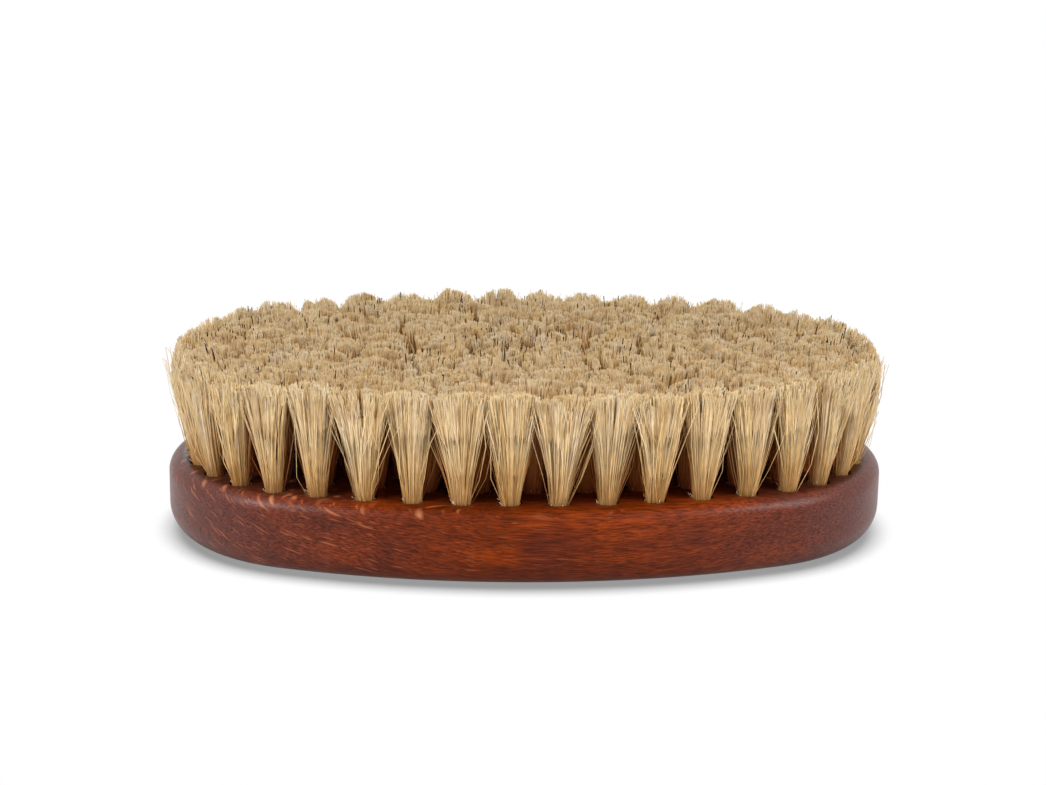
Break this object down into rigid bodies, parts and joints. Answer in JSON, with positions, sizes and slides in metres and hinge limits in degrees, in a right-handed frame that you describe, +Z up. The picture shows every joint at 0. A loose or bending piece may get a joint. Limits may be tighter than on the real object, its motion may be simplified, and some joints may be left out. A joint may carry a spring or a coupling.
{
  "type": "shoe shine brush",
  "caption": "Oval wooden polishing brush, rounded at the back, with natural bristle tufts anchored in concentric rings of blind holes.",
  "frame": {"origin": "middle of the flat back of the block, on the surface that the brush lies on", "axes": "+X along the block, +Y from the pictured long side to the far side, +Z up through the bristles"},
  "size_m": [0.13, 0.07, 0.0345],
  "materials": {
    "stained_wood": "reddish brown stained beech, waxed to a satin sheen",
    "natural_bristle": "natural hair, cream to tan with brown and black hairs, trimmed level",
    "anchor_wire": "plain drawn flat wire"
  },
  "bodies": {
    "root": {"block": "stained_wood", "outer_ring_front_tufts": "natural_bristle", "outer_ring_right_tufts": "natural_bristle", "outer_ring_back_tufts": "natural_bristle", "outer_ring_left_tufts": "natural_bristle", "second_ring_front_tufts": "natural_bristle", "second_ring_right_tufts": "natural_bristle", "second_ring_back_tufts": "natural_bristle", "second_ring_left_tufts": "natural_bristle", "third_ring_front_tufts": "natural_bristle", "third_ring_right_tufts": "natural_bristle", "third_ring_back_tufts": "natural_bristle", "third_ring_left_tufts": "natural_bristle", "fourth_ring_front_tufts": "natural_bristle", "fourth_ring_right_tufts": "natural_bristle", "fourth_ring_back_tufts": "natural_bristle", "fourth_ring_left_tufts": "natural_bristle", "inner_ring_front_tufts": "natural_bristle", "inner_ring_right_tufts": "natural_bristle", "inner_ring_back_tufts": "natural_bristle", "inner_ring_left_tufts": "natural_bristle", "outer_ring_anchors": "anchor_wire", "second_ring_anchors": "anchor_wire", "third_ring_anchors": "anchor_wire", "fourth_ring_anchors": "anchor_wire", "inner_ring_anchors": "anchor_wire"}
  },
  "joints": []
}
